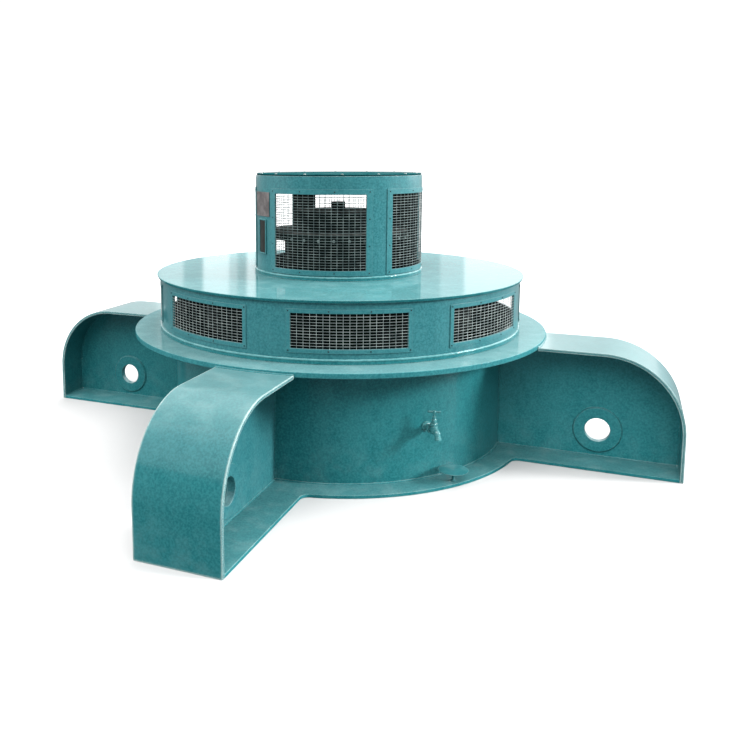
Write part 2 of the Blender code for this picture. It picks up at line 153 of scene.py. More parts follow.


# Brushed and sprayed machine enamel: colours are linear, sizes are in metres.
# The grey of settled dust and worn paint, also used for the painted sheen on upward faces
# and the painted highlight on edges.
dustWearAndSheen = (0.42, 0.50, 0.48, 1)
# In each look, film is the share of the upward faces' painted sheen and dust.
enamelLooks = {
    "tealEnamel": {
        "tint": (0.0170, 0.118, 0.130, 1), "shade": (0.0070, 0.092, 0.104, 1),
        "thin": (0.030, 0.200, 0.212, 1),
        "dustAmount": 0.08, "film": 0.115, "edgeWearAndHighlight": 0.45, "edgeWearAndHighlightReach": 0.004, "mottle": 0.48,
        "roughness": 0.26, "coat": 0.75, "coatRoughness": 0.10, "specular": 0.12,
        "peel": 0.00012, "dent": 0.0030,
    },
}

# Enamels that change a few values of an earlier one.
enamelChanges = {
    # Painted sheen: the frames carry more red and are lighter than the teal, for the whitish
    # sheen of the side light.
    "frameEnamel": ("tealEnamel", {
        "tint": (0.028, 0.128, 0.142, 1), "shade": (0.018, 0.108, 0.122, 1),
        "thin": (0.056, 0.212, 0.227, 1), "film": 0.105, "edgeWearAndHighlight": 0.08, "mottle": 0.36,
        "roughness": 0.30, "coat": 0.50, "dent": 0.0010}),
    # Painted highlight: the hoop beads get a much lighter enamel for the bright line of
    # light along their tops.
    "highlitBeadEnamel": ("tealEnamel", {
        "tint": (0.060, 0.205, 0.215, 1), "shade": (0.030, 0.152, 0.162, 1),
        "thin": (0.170, 0.345, 0.353, 1), "film": 0.08, "edgeWearAndHighlight": 0.0, "mottle": 0.20,
        "roughness": 0.22, "coat": 0.90, "coatRoughness": 0.05, "dent": 0.0}),
    # Painted light: the cock's enamel is much lighter than the teal, standing in for the
    # bright light on the tap's right side.
    "cockEnamel": ("tealEnamel", {
        "tint": (0.050, 0.200, 0.210, 1), "shade": (0.022, 0.140, 0.150, 1),
        "thin": (0.110, 0.330, 0.340, 1), "film": 0.08, "edgeWearAndHighlight": 0.08, "mottle": 0.12,
        "roughness": 0.10, "coat": 0.90, "coatRoughness": 0.05, "specular": 0.5,
        "peel": 0.00010, "dent": 0.0}),
    # Painted highlight: the arms get the strongest edge highlight and more film on their
    # tops.
    "armEnamel": ("tealEnamel", {
        "tint": (0.0160, 0.104, 0.115, 1), "shade": (0.0065, 0.084, 0.095, 1),
        "thin": (0.030, 0.180, 0.190, 1),
        "film": 0.145, "edgeWearAndHighlight": 0.80, "edgeWearAndHighlightReach": 0.014, "mottle": 0.38}),
    # Painted light: a lighter, redder copy of the teal for the web of arm 1, in place of the
    # light falling on it.
    "litWebEnamel": ("tealEnamel", {
        "tint": (0.023, 0.160, 0.176, 1), "shade": (0.0095, 0.122, 0.138, 1),
        "thin": (0.040, 0.250, 0.265, 1)}),
    # Painted sheen: the walls carry more red than the teal, for the whitish sheen of the
    # side light.
    "sheenWallEnamel": ("tealEnamel", {
        "tint": (0.027, 0.118, 0.132, 1), "shade": (0.014, 0.092, 0.106, 1),
        "thin": (0.046, 0.200, 0.214, 1)}),
    # Painted light: the flange enamel is lighter and redder than the teal, with more film,
    # for the light on its rim and top.
    "flangeEnamel": ("tealEnamel", {
        "tint": (0.025, 0.128, 0.141, 1), "shade": (0.013, 0.100, 0.113, 1),
        "thin": (0.045, 0.212, 0.225, 1), "film": 0.14, "coat": 0.34, "specular": 0.0}),
    "coverEnamel": ("tealEnamel", {
        "film": 0.09, "coat": 0.64, "coatRoughness": 0.06, "specular": 0.0}),
    "footEnamel": ("tealEnamel", {
        "tint": (0.017, 0.132, 0.145, 1), "shade": (0.007, 0.102, 0.115, 1),
        "dustAmount": 0.06, "film": 0.07, "roughness": 0.42, "coat": 0.22,
        "specular": 0.02}),
    # The lid is a much darker teal than the rest, matte and without clear coat.
    "lidEnamel": ("tealEnamel", {
        "tint": (0.006, 0.050, 0.055, 1), "shade": (0.003, 0.034, 0.038, 1),
        "thin": (0.012, 0.085, 0.090, 1),
        "film": 0.0, "edgeWearAndHighlight": 0.0, "coat": 0.0, "specular": 0.0}),
    # Painted light: the cap is lighter than the ledge, standing in for the light on its top
    # and the missing shadow below it.
    "capEnamel": ("cockEnamel", {
        "tint": (0.026, 0.145, 0.157, 1), "shade": (0.018, 0.108, 0.118, 1),
        "thin": (0.050, 0.230, 0.245, 1),
        "film": 0.0, "edgeWearAndHighlight": 0.25, "roughness": 0.16, "coat": 0.20, "specular": 0.0}),
}
for name, (base, changes) in enamelChanges.items():
    enamelLooks[name] = {**enamelLooks[base], **changes}

# Noise scales of the paint: a larger number is a finer pattern.
paintGrain = {"broad": 1.7, "dent": 2.6, "cloudy": 11.0, "medium": 42.0, "grit": 95.0,
              "stipple": 110.0, "peel": 210.0, "runs": (16.0, 16.0, 1.4)}
coatIndex = 1.22                              # how strongly the clear coat mirrors


def enamelFinish(name, look):
    material, recipe, shader, place = startFinish(name)
    height, tilt = heightAndTilt(recipe, place)
    broad = recipe.speckle(place, paintGrain["broad"], 3.0)
    cloudy = recipe.speckle(place, paintGrain["cloudy"], 4.0, 0.6)
    medium = recipe.speckle(place, paintGrain["medium"], 3.0, 0.6)
    stretched = recipe.node("ShaderNodeMapping", {}, {"Vector": place,
                            "Scale": paintGrain["runs"]}, "Vector")
    runs = recipe.speckle(stretched, 1.0, 3.0, 0.55)
    grit = recipe.speckle(place, paintGrain["grit"], 3.0, 0.7)
    dots = recipe.speckle(place, paintGrain["stipple"], 3.0, 0.65)

    upward = recipe.between(tilt, 0.60, 0.99)
    nearFloor = recipe.between(height, 0.30, 0.0)
    patches = recipe.between(cloudy, 0.42, 0.72)
    dusty = (upward * 0.75 + nearFloor * 0.5) * patches * look["dustAmount"]
    specks = recipe.between(grit, 0.66, 0.74) * (upward * 0.8 + 0.2) * look["dustAmount"]
    # Upward faces blend towards the dust colour: partly settled dust, partly a painted sheen
    # of the light from above.
    film = upward * (0.8 + broad * 0.4) * look["film"]

    mottled = recipe.between(broad * 0.25 + runs * 0.2 + cloudy * 0.25 + medium * 0.3,
                             0.38, 0.62)
    paint = recipe.blend(mottled, look["shade"], look["tint"])
    stipple = recipe.between(dots, 0.36, 0.66)
    paint = recipe.blend(stipple * look["mottle"], paint, look["thin"])
    # Edges blend towards the dust colour: partly worn paint, partly a painted highlight of
    # light catching the edges.
    if look["edgeWearAndHighlight"]:
        edges = cornerMask(recipe, look["edgeWearAndHighlightReach"]) * (0.5 + cloudy) * look["edgeWearAndHighlight"]
        paint = recipe.blend(edges, paint, dustWearAndSheen)
    # Painted shade: near black on the inner faces of the vent ring and the hood.
    inside = roomShadeMask(recipe, place, height)
    paint = recipe.blend(dusty + specks + film, paint, dustWearAndSheen)
    recipe.join(recipe.blend(inside, paint, rooms["paintedShade"]), shader.inputs["Base Color"])
    recipe.join(look["roughness"] + runs * 0.10 + dusty * 1.4 + specks * 1.2 + inside * 0.3,
                shader.inputs["Roughness"])
    recipe.join((look["coat"] - dusty * 1.8 - specks * 2.0) * (1 - inside),
                shader.inputs["Coat Weight"])
    shader.inputs["Coat Roughness"].default_value = look["coatRoughness"]
    shader.inputs["Specular IOR Level"].default_value = look["specular"]
    shader.inputs["Coat IOR"].default_value = coatIndex
    skin = recipe.bump(recipe.speckle(place, paintGrain["peel"], 1.0), look["peel"])
    if look["dent"]:
        dents = recipe.speckle(place, paintGrain["dent"], 1.0)
        skin = recipe.bump(dents, look["dent"], 1.0, skin)
    recipe.join(skin, shader.inputs["Normal"])
    return material


# Wire, iron, screws, bolts, the data plate's metal and the sight glass.
metalLooks = {
    "ventWire": {"tint": (0.34, 0.40, 0.39, 1), "shade": (0.15, 0.19, 0.19, 1),
                 "metal": 0.30, "roughness": 0.40, "grain": 0.00010, "size": 160.0,
                 "specular": 0.5},
    # Painted shade: the hood's wire is a darker copy of the vents' wire, for the weaker
    # light on the hood's screens.
    "hoodWire": {"tint": (0.15, 0.20, 0.195, 1), "shade": (0.06, 0.09, 0.09, 1),
                 "metal": 0.30, "roughness": 0.40, "grain": 0.00010, "size": 160.0,
                 "specular": 0.5},
    # Painted shade: the inner machinery is near black, darker than iron, for the shade
    # behind the screens.
    "ironInPaintedShade": {"tint": (0.002, 0.006, 0.006, 1), "shade": (0.001, 0.003, 0.003, 1),
                 "metal": 0.0, "roughness": 0.60, "grain": 0.00030, "size": 90.0,
                 "specular": 0.05},
    "plateMetal": {"tint": (0.16, 0.140, 0.140, 1), "shade": (0.08, 0.070, 0.070, 1),
                   "metal": 0.60, "roughness": 0.40, "grain": 0.00005, "size": 300.0,
                   "specular": 0.5},
    "darkScrew": {"tint": (0.006, 0.018, 0.020, 1), "shade": (0.003, 0.009, 0.010, 1),
                  "metal": 0.0, "roughness": 0.55, "grain": 0.00005, "size": 400.0,
                  "specular": 0.15},
    "boltZinc": {"tint": (0.40, 0.45, 0.44, 1), "shade": (0.25, 0.30, 0.29, 1),
                 "metal": 0.7, "roughness": 0.35, "grain": 0.00005, "size": 300.0,
                 "specular": 0.5},
}
metalDust = {"tint": (0.30, 0.31, 0.29, 1), "amount": 0.25, "size": 24.0}
# Painted shade: the sight glass is an opaque near-black sheet in place of the dark room seen
# through it, with a lighter smear.
glass = {"shadeBehind": (0.008, 0.009, 0.008, 1), "film": (0.10, 0.11, 0.10, 1), "amount": 0.10,
         "size": 18.0, "roughness": 0.30, "filmRoughness": 0.25, "specular": 0.2}


def metalFinish(name, look):
    material, recipe, shader, place = startFinish(name)
    height, tilt = heightAndTilt(recipe, place)
    cloudy = recipe.speckle(place, metalDust["size"], 4.0, 0.6)
    grain = recipe.speckle(place, look["size"], 2.0)
    patches = recipe.between(cloudy, 0.35, 0.65)
    upward = recipe.between(tilt, 0.6, 0.98) * patches * metalDust["amount"]
    paint = recipe.blend(patches, look["shade"], look["tint"])
    recipe.join(recipe.blend(upward, paint, metalDust["tint"]),
                shader.inputs["Base Color"])
    recipe.join(look["metal"] - upward * look["metal"], shader.inputs["Metallic"])
    recipe.join(look["roughness"] + grain * 0.12 + upward * 0.8, shader.inputs["Roughness"])
    recipe.join(recipe.bump(grain, look["grain"]), shader.inputs["Normal"])
    shader.inputs["Specular IOR Level"].default_value = look["specular"]
    return material


def glassFinish(name):
    material, recipe, shader, place = startFinish(name)
    smear = recipe.speckle(place, glass["size"], 4.0, 0.65)
    film = recipe.between(smear, 0.45, 0.75)
    recipe.join(recipe.blend(film * glass["amount"], glass["shadeBehind"], glass["film"]),
                shader.inputs["Base Color"])
    recipe.join(glass["roughness"] + film * glass["filmRoughness"],
                shader.inputs["Roughness"])
    shader.inputs["Specular IOR Level"].default_value = glass["specular"]
    return material


finishes = {name: enamelFinish(name, look) for name, look in enamelLooks.items()}
finishes.update({name: metalFinish(name, look) for name, look in metalLooks.items()})
finishes["darkGlass"] = glassFinish("darkGlass")
print("finishes mixed:", ", ".join(finishes))


def aim(azimuth):                             # turns a shape drawn outward along +X
    return Matrix.Rotation(math.radians(azimuth - 90), 4, "Z")


def across():                                 # stands an axis drawn along Z along Y
    return Matrix.Rotation(math.radians(90), 4, "X")


def outward():                                # lays an axis drawn along Z along +X
    return Matrix.Rotation(math.radians(90), 4, "Y")


def at(x, y, z):
    return Matrix.Translation((x, y, z))


def chain(bm, points, closed=False):
    verts = [bm.verts.new(point) for point in points]
    pairs = list(zip(verts, verts[1:]))
    if closed:
        pairs.append((verts[-1], verts[0]))
    return verts + [bm.edges.new(pair) for pair in pairs]


def spinOn(bm, geometry, angle, steps, centre=(0, 0, 0), axis=(0, 0, 1)):
    made = bmesh.ops.spin(bm, geom=geometry, cent=centre, axis=axis, dvec=(0, 0, 0),
                          angle=math.radians(angle), steps=steps,
                          use_merge=abs(angle) == 360)
    return made["geom_last"]


def mergeTwins(bm):                           # makes one of points that lie together
    bmesh.ops.remove_doubles(bm, verts=bm.verts, dist=1e-5)
    return bm


def faceOutward(bm):
    bmesh.ops.recalc_face_normals(bm, faces=bm.faces)
    return bm


def placed(bm, matrix):
    bmesh.ops.transform(bm, matrix=matrix, verts=bm.verts)
    return bm


def only(kind, parts):
    return [part for part in parts if isinstance(part, kind)]


def pushOn(bm, faces, move):                  # draws faces straight on
    made = bmesh.ops.extrude_face_region(bm, geom=faces)["geom"]
    bmesh.ops.translate(bm, verts=only(bmesh.types.BMVert, made), vec=move)
    return only(bmesh.types.BMFace, made)


def prism(bm, sides, radius, length, matrix, taper=1):
    return bmesh.ops.create_cone(bm, cap_ends=True, segments=sides, radius1=radius,
                                 radius2=radius * taper, depth=length, matrix=matrix)


def turned(profile, steps, closed=False):     # (radius, height) points spun about Z
    bm = bmesh.new()
    spinOn(bm, chain(bm, [(radius, 0, height) for radius, height in profile], closed),
           360, steps)
    bmesh.ops.dissolve_degenerate(mergeTwins(bm), dist=1e-6, edges=bm.edges)
    return faceOutward(bm)


def roundEdges(bm, width, segments=3, limit=35):
    sharp = [edge for edge in bm.edges
             if edge.is_manifold and edge.calc_face_angle() > math.radians(limit)]
    bmesh.ops.bevel(bm, geom=sharp, offset=width, offset_type="OFFSET", segments=segments,
                    profile=0.5, affect="EDGES", material=-1, clamp_overlap=True)
    return bm


def stamp(target, shape, matrix=Matrix.Identity(4)):
    mesh = bpy.data.meshes.new("stamp")
    shape.to_mesh(mesh)
    mesh.transform(matrix)
    target.from_mesh(mesh)
    bpy.data.meshes.remove(mesh)


def makePiece(name, bm, finish, stands=(), body="machine", smooth=40):
    mesh = bpy.data.meshes.new(name)
    bm.to_mesh(mesh)
    bm.free()
    mesh.materials.append(finishes[finish])
    mesh.shade_smooth()
    mesh.set_sharp_from_angle(angle=math.radians(smooth))
    piece = bpy.data.objects.new(name, mesh)
    bpy.context.scene.collection.objects.link(piece)
    even = piece.modifiers.new("evenShading", "WEIGHTED_NORMAL")
    even.keep_sharp = True
    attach(piece, body)
    if stands:
        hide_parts(*stands)
    return piece


# The camera stands where the photographer stood, looking slightly down (radians, mm).
view = {"place": (0.0, -4.33773, 1.48293), "turn": (1.4360241, 0.0021503, 0.0585656),
        "lens": 38.2206, "sensor": 36.0, "shift": (0.11137, -0.14502)}


def setCamera():
    lens = bpy.data.cameras.new("camera")
    lens.sensor_width = view["sensor"]
    lens.lens = view["lens"]
    lens.shift_x, lens.shift_y = view["shift"]
    camera = bpy.data.objects.new("camera", lens)
    camera.location = view["place"]
    camera.rotation_euler = view["turn"]
    bpy.context.scene.collection.objects.link(camera)
    bpy.context.scene.camera = camera


setCamera()


# Foot plate: ledge round the drum and the arms' bottom flanges in one flat plate.
footPlate = {"thickness": 0.016, "rimRadius": 1.005, "boreRadius": 0.70, "fillet": 0.040,
             "tip": 1.7317, "halfWidth": 0.188, "edge": 0.0018,
             "filletSteps": 10, "rimSteps": 28, "boreSides": 96}


def buildFootPlate(size):
    bm = bmesh.new()
    width, tip, fillet = size["halfWidth"], size["tip"], size["fillet"]
    side = width + fillet
    reach = math.sqrt((size["rimRadius"] + fillet) ** 2 - side ** 2)
    lean = math.degrees(math.atan2(side, reach))
    outline = chain(bm, [(tip, -width, 0), (tip, width, 0), (reach, width, 0)])
    last = spinOn(bm, [outline[2]], lean - 90, size["filletSteps"], (reach, side, 0))
    last = spinOn(bm, last, 90 - 2 * lean, size["rimSteps"])
    last = spinOn(bm, last, lean - 90, size["filletSteps"], (side, reach, 0))
    bm.edges.new((last[0], bm.verts.new((width, tip, 0))))
    bmesh.ops.spin(bm, geom=bm.verts[:] + bm.edges[:], cent=(0, 0, 0), axis=(0, 0, 1),
                   dvec=(0, 0, 0), angle=math.radians(270), steps=3, use_duplicate=True)
    mergeTwins(bm)
    bmesh.ops.create_circle(bm, segments=size["boreSides"], radius=size["boreRadius"])
    bmesh.ops.triangle_fill(bm, edges=bm.edges[:], use_beauty=True, normal=(0, 0, 1))
    pushOn(bm, bm.faces[:], (0, 0, size["thickness"]))
    return placed(roundEdges(faceOutward(bm), size["edge"]), aim(armAzimuths[0]))


makePiece("footPlate", buildFootPlate(footPlate), "footEnamel",
          ["foot_plate"])

# Base drum and the flange disc that it carries.
baseDrum = {"radius": 0.885, "wall": 0.020, "low": 0.0163, "high": 0.5667, "edge": 0.001,
            "steps": 180}
mainFlange = {"radius": 1.100, "bore": 0.600, "low": 0.567, "high": 0.592, "edge": 0.004,
              "steps": 216}


def ringProfile(inner, outer, low, high):
    return [(inner, low), (outer, low), (outer, high), (inner, high)]


def buildRing(size, inner, segments):
    profile = ringProfile(inner, size["radius"], size["low"], size["high"])
    return roundEdges(turned(profile, size["steps"], True), size["edge"], segments)


makePiece("baseDrum", buildRing(baseDrum, baseDrum["radius"] - baseDrum["wall"], 2),
          "tealEnamel", ["base_drum"])
makePiece("mainFlange", buildRing(mainFlange, mainFlange["bore"], 4), "flangeEnamel",
          ["main_flange"])
print("foot plate, drum and flange built")

# Arms: a bent top plate over an upright web with an eye through it.
armPlate = {"reach": 1.748, "halfWidth": 0.188, "thickness": 0.016, "top": 0.577,
            "bend": 0.365, "bendSteps": 28, "rim": 1.1008, "columns": 18, "edge": 0.0028}
webEye = {"reach": 1.365, "height": 0.150, "bore": 0.059, "radius": 0.111,
          "length": 0.036, "edge": 0.003}
# Painted light: arm 1's web takes a lighter enamel and arm 4's web the redder wall enamel,
# standing in for the light falling on them.
webPaints = {1: "litWebEnamel", 2: "tealEnamel", 3: "tealEnamel", 4: "sheenWallEnamel"}


def buildArmPlate(size, azimuth):
    bm = bmesh.new()
    width, top, bend = size["halfWidth"], size["top"], size["bend"]
    straight = size["reach"] - bend
    line = chain(bm, [(size["rim"], -width, top), (straight, -width, top)])
    last = spinOn(bm, [line[1]], 90, size["bendSteps"], (straight, -width, top - bend),
                  (0, 1, 0))
    bm.edges.new((last[0], bm.verts.new((size["reach"], -width, 0))))
    edges = bm.edges[:]
    for _ in range(size["columns"]):
        made = bmesh.ops.extrude_edge_only(bm, edges=edges)["geom"]
        edges = only(bmesh.types.BMEdge, made)
        bmesh.ops.translate(bm, verts=only(bmesh.types.BMVert, made),
                            vec=(0, 2 * width / size["columns"], 0))
    for vert in bm.verts:                     # the inner end follows the flange's rim
        if vert.co.x < size["rim"] + 0.001:
            vert.co.x = math.sqrt(size["rim"] ** 2 - vert.co.y ** 2)
    bm.normal_update()
    if sum(face.normal.z for face in bm.faces) < 0:
        bmesh.ops.reverse_faces(bm, faces=bm.faces)
    bmesh.ops.solidify(bm, geom=bm.faces[:], thickness=size["thickness"])
    return placed(roundEdges(bm, size["edge"]), aim(azimuth))


def buildWebEye(size, azimuth):
    half = size["length"] / 2
    bm = turned(ringProfile(size["bore"], size["radius"], -half, half), 64, True)
    return placed(roundEdges(bm, size["edge"]),
                  aim(azimuth) @ at(size["reach"], 0, size["height"]) @ across())


for number, azimuth in enumerate(armAzimuths, 1):
    makePiece(f"armPlate_{number}", buildArmPlate(armPlate, azimuth), "armEnamel",
              [f"arm_plate_{number}"])
    paint = webPaints[number]
    makePiece(f"webEye_{number}", buildWebEye(webEye, azimuth), paint,
              [f"web_eye_{number}"])
    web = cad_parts[f"arm_web_{number}"]
    web.data.materials.clear()
    web.data.materials.append(finishes[paint])
print("arms built")

# Weld beads in the corners.  Each bead is a round bar, half sunk in the steel, with ripples.
welds = {"arm": 0.0050, "rim": 0.0055, "drum": 0.0060, "ripple": 0.0016, "pitch": 0.007,
         "stretch": 1.7, "webHalf": 0.010, "lap": 0.010, "inset": 0.004, "sides": 8}


def beadLine(bm, start, end, size):
    start, end = Vector(start), Vector(end)
    along = end - start
    matrix = at(*((start + end) / 2)) @ along.to_track_quat("Z", "X").to_matrix().to_4x4()
    made = prism(bm, welds["sides"], size, along.length, matrix)
    long = {edge for vert in made["verts"] for edge in vert.link_edges
            if edge.calc_length() > along.length * 0.9}
    bmesh.ops.subdivide_edges(bm, edges=list(long),
                              cuts=int(along.length / welds["pitch"]))


def beadArc(bm, start, centre, axis, angle, size):
    start, centre, axis = Vector(start), Vector(centre), Vector(axis)
    radial = start - centre
    tangent = axis.cross(radial)
    matrix = at(*start) @ tangent.to_track_quat("Z", "X").to_matrix().to_4x4()
    full = abs(angle) == 360
    made = bmesh.ops.create_circle(bm, cap_ends=not full, segments=welds["sides"],
                                   radius=size, matrix=matrix)
    ring = {part for vert in made["verts"] for part in (vert, *vert.link_edges,
                                                        *vert.link_faces)}
    length = radial.length * math.radians(abs(angle))
    spinOn(bm, list(ring), angle, int(length / welds["pitch"]), centre, axis)


def finishBeads(bm):
    for vert in faceOutward(mergeTwins(bm)).verts:
        ripple = noise.noise(vert.co / (welds["pitch"] * welds["stretch"]))
        vert.co += vert.normal * welds["ripple"] * ripple
    return bm


def buildArmBeads(azimuth):
    bm = bmesh.new()
    size = welds["arm"]
    drum, floor, roof = baseDrum["radius"], footPlate["thickness"], mainFlange["low"]
    inset = armPlate["thickness"]
    under, outer = armPlate["top"] - inset, armPlate["reach"] - inset
    bendAt = (armPlate["reach"] - armPlate["bend"], armPlate["top"] - armPlate["bend"])
    for side in (-welds["webHalf"], welds["webHalf"]):
        beadLine(bm, (drum, side, floor), (drum, side, roof), size)
        beadLine(bm, (drum, side, floor), (outer, side, floor), size)
        beadLine(bm, (drum, side, roof), (armPlate["rim"], side, roof), size)
        beadLine(bm, (armPlate["rim"] - welds["lap"], side, under),
                 (bendAt[0], side, under), size)
        beadArc(bm, (bendAt[0], side, under), (bendAt[0], side, bendAt[1]), (0, 1, 0), 90,
                size)
        beadLine(bm, (outer, side, bendAt[1]), (outer, side, floor), size)
        beadArc(bm, (webEye["reach"] + webEye["radius"], side, webEye["height"]),
                (webEye["reach"], side, webEye["height"]), (0, 1, 0), 360, size)
    width = armPlate["halfWidth"] - welds["inset"]
    beadLine(bm, (outer, -width, floor), (outer, width, floor), size)
    half = math.degrees(math.asin(width / mainFlange["radius"]))
    rimStart = Matrix.Rotation(math.radians(-half), 3, "Z") @ Vector(
        (mainFlange["radius"], 0, armPlate["top"]))
    beadArc(bm, rimStart, (0, 0, armPlate["top"]), (0, 0, 1), 2 * half, welds["rim"])
    return finishBeads(placed(bm, aim(azimuth)))


for number, azimuth in enumerate(armAzimuths, 1):
    makePiece(f"armBeads_{number}", buildArmBeads(azimuth), "tealEnamel",
              smooth=80)
drumBeads = bmesh.new()
for height in (footPlate["thickness"], mainFlange["low"]):
    beadArc(drumBeads, (baseDrum["radius"], 0, height), (0, 0, height), (0, 0, 1), 360,
            welds["drum"])
makePiece("drumBeads", finishBeads(drumBeads), "tealEnamel", smooth=80)
print("weld beads laid")

# Walls with windows: the vent ring on the flange and the hood on the cover plate.
ventRing = {"radius": 0.9605, "wall": 0.010, "low": 0.5923, "high": 0.8650,
            "sill": 0.660, "head": 0.8175, "half": 15.6, "edge": 0.0012,
            "windows": tuple(3.16 + 45 * k for k in range(8)),
            "posts": (13.8,) * 8, "hoop": 0.019, "hoopSteps": 192}
hood = {"radius": 0.447, "wall": 0.008, "low": 0.8796, "high": 1.3955,
        "sill": 0.931, "head": 1.306, "half": 31.7, "edge": 0.0012,
        "windows": (-13.7, 68.5, 166.3, 248.5), "posts": (18.8, 34.4, 18.8, 34.4),
        "hoop": 0.015, "hoopSteps": 128}
hoop = {"out": 0.006, "sunk": 0.002, "weld": 0.0060, "edge": 0.0015}


def azimuthOf(point):
    return math.degrees(math.atan2(point.x, -point.y))


def inWindow(point, centres, half):
    turn = azimuthOf(point)
    return any(abs((turn - centre + 180) % 360 - 180) < half for centre in centres)


def cutWindows(bm, centres, half, sill, head):
    spots = [(face, face.calc_center_median()) for face in bm.faces]
    gone = [face for face, spot in spots
            if sill < spot.z < head and inWindow(spot, centres, half)]
    bmesh.ops.delete(bm, geom=gone, context="FACES")


def wallUp(radius, azimuth, spans, heights):
    # heights are joined into an upright line, which is spun over the spans (angle, steps)
    bm = bmesh.new()
    last = chain(bm, [aim(azimuth) @ Vector((radius, 0, height)) for height in heights])
    for angle, steps in spans:
        last = spinOn(bm, last, angle, steps)
    return bm


def thicken(bm, thickness):
    mergeTwins(bm).normal_update()
    inward = [face for face in bm.faces if face.normal.dot(
        face.calc_center_median() * Vector((1, 1, 0))) < 0]
    bmesh.ops.reverse_faces(bm, faces=inward)
    bmesh.ops.solidify(bm, geom=bm.faces[:], thickness=thickness)
    return bm


def buildWindowWall(size):
    spans = []
    for post in size["posts"]:
        spans += [(2 * size["half"], round(size["half"])), (post, round(post / 2))]
    bm = wallUp(size["radius"], size["windows"][0] - size["half"], spans,
                (size["low"], size["sill"], size["head"], size["high"]))
    cutWindows(mergeTwins(bm), size["windows"], size["half"], size["sill"], size["head"])
    return roundEdges(thicken(bm, size["wall"]), size["edge"], 2)


def buildHoop(size):
    low, radius = size["low"], size["radius"]
    bm = turned(ringProfile(radius - hoop["sunk"], radius + hoop["out"], low,
                            low + size["hoop"]), size["hoopSteps"], True)
    return roundEdges(bm, hoop["edge"])


def buildHoopBead(size):
    bm = bmesh.new()
    height = size["low"] + size["hoop"]
    beadArc(bm, (size["radius"] + hoop["out"] / 3, 0, height), (0, 0, height), (0, 0, 1),
            360, hoop["weld"])
    return finishBeads(bm)


makePiece("ventWall", buildWindowWall(ventRing), "sheenWallEnamel", ["vent_ring"])
makePiece("hoodWall", buildWindowWall(hood), "sheenWallEnamel", ["hood"])
for name, size in (("vent", ventRing), ("hood", hood)):
    makePiece(name + "Hoop", buildHoop(size), "tealEnamel")
    makePiece(name + "HoopBead", buildHoopBead(size), "highlitBeadEnamel", smooth=80)

# Cover plate on the vent ring and lid on the hood.
coverPlate = {"radius": 0.979, "low": 0.8653, "high": 0.8793, "lean": 0.005, "lip": 0.004,
              "edge": 0.0026, "steps": 216}
hoodLid = {"radius": 0.441, "low": 1.3958, "high": 1.4038, "lean": 0.003, "lip": 0.004,
           "edge": 0.0018, "steps": 128}


def buildDisc(size):
    radius, low, high = size["radius"], size["low"], size["high"]
    bm = turned([(0, low), (radius - size["lean"], low), (radius, high - size["lip"]),
                 (radius, high), (0, high)], size["steps"])
    return roundEdges(bm, size["edge"], 4, 15)


makePiece("coverPlate", buildDisc(coverPlate), "coverEnamel",
          ["cover_plate"])
makePiece("hoodLid", buildDisc(hoodLid), "lidEnamel", ["hood_lid"])
print("walls, cover and lid built")

# Window screens: a strip frame, the wire mesh behind it and its screws.
screenFrame = {"gap": 0.0010, "thickness": 0.003, "edge": 0.0008, "tuck": 0.003,
               "weave": 1.7}
ventScreen = {"strip": 0.019, "height": 0.019, "columns": 18, "rows": 12,
              "wire": 0.0009, "steps": 18,
              "screwTurns": (-16.2, -5.5, 5.5, 16.2), "screwRows": 2}
hoodScreen = {"strip": 0.033, "height": 0.026, "columns": 17, "rows": 28,
              "wire": 0.0012, "steps": 24,
              "screwTurns": (-33.8, -11.3, 11.3, 33.8), "screwRows": 4}
screw = {"radius": 0.0036, "taper": 0.72, "height": 0.0022, "socket": 0.0014,
         "socketDepth": 0.5, "sunk": 0.0003}


def buildStripFrame(wall, screen, azimuth):
    strip = math.degrees(screen["strip"] / wall["radius"])
    outer = wall["radius"] + screenFrame["gap"] + screenFrame["thickness"]
    spans = [(strip, 2), (2 * wall["half"], screen["steps"]), (strip, 2)]
    bm = wallUp(outer, azimuth - wall["half"] - strip, spans,
                (wall["sill"] - screen["height"], wall["sill"], wall["head"],
                 wall["head"] + screen["height"]))
    cutWindows(bm, [azimuth], wall["half"], wall["sill"], wall["head"])
    return roundEdges(thicken(bm, screenFrame["thickness"]), screenFrame["edge"], 2)


def buildMesh(wall, screen, azimuth):
    bm = bmesh.new()
    thick, tuck = screen["wire"], screenFrame["tuck"]     # the ends sit in the frame
    radius = wall["radius"] + screenFrame["gap"] + screenFrame["thickness"] / 2
    turn = math.degrees(tuck / radius)
    start = azimuth - wall["half"] - turn
    rise = (wall["head"] - wall["sill"]) / screen["rows"]
    for row in range(1, screen["rows"]):
        matrix = aim(start) @ at(radius, 0, wall["sill"] + row * rise) @ across()
        made = bmesh.ops.create_circle(bm, cap_ends=True, segments=6, radius=thick,
                                       matrix=matrix)
        ring = {part for vert in made["verts"] for part in vert.link_faces}
        spinOn(bm, list(ring), 2 * (wall["half"] + turn), screen["steps"])
    step = 2 * wall["half"] / screen["columns"]
    height = wall["head"] - wall["sill"] + 2 * tuck
    middle = (wall["head"] + wall["sill"]) / 2
    for column in range(1, screen["columns"]):
        matrix = aim(azimuth - wall["half"] + column * step) @ at(
            radius - thick * screenFrame["weave"], 0, middle)
        prism(bm, 6, thick, height, matrix)
    return faceOutward(bm)


def makeScrewShape():
    bm = bmesh.new()
    prism(bm, 12, screw["radius"], screw["height"], at(0, 0, screw["height"] / 2),
          screw["taper"])
    top = max(bm.faces, key=lambda face: face.calc_center_median().z)
    bmesh.ops.inset_region(bm, faces=[top], thickness=screw["socket"], depth=0)
    bmesh.ops.translate(bm, verts=top.verts,
                        vec=(0, 0, -screw["height"] * screw["socketDepth"]))
    return faceOutward(bm)


